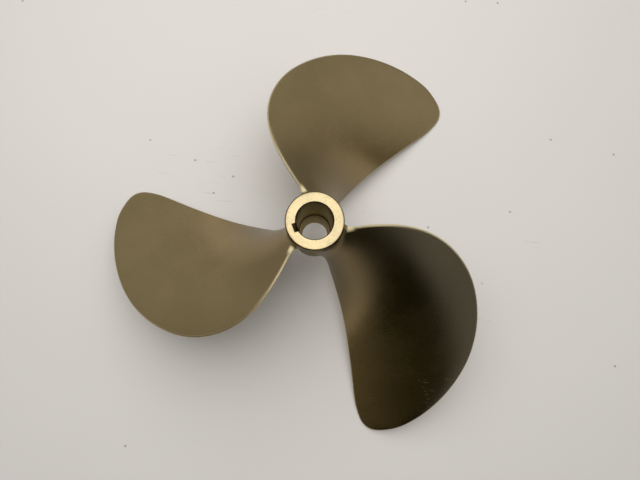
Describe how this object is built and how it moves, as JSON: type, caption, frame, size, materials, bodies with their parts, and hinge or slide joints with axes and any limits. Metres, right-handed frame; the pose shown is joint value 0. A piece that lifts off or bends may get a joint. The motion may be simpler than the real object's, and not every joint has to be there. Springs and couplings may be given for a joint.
{
  "type": "boat propeller",
  "caption": "Fixed-pitch right-handed boat propeller in cast bronze, with a keyed taper bore for an inboard propeller shaft.",
  "frame": {"origin": "on the shaft axis, in the plane where the blades' reference lines cross it, inside the hub's cylindrical aft bore", "axes": "+Z along the shaft axis toward the forward face, where the shaft enters; +Y along the first blade's reference line; +X completes a right-handed frame"},
  "size_m": [0.2904, 0.3018, 0.0898],
  "materials": {
    "hub_bronze": "turned on the ends, cast and ground around the outside",
    "blade_bronze": "satin, fine ground"
  },
  "bodies": {
    "root": {"hub": "hub_bronze", "blade_1": "blade_bronze", "blade_2": "blade_bronze", "blade_3": "blade_bronze"}
  },
  "joints": []
}
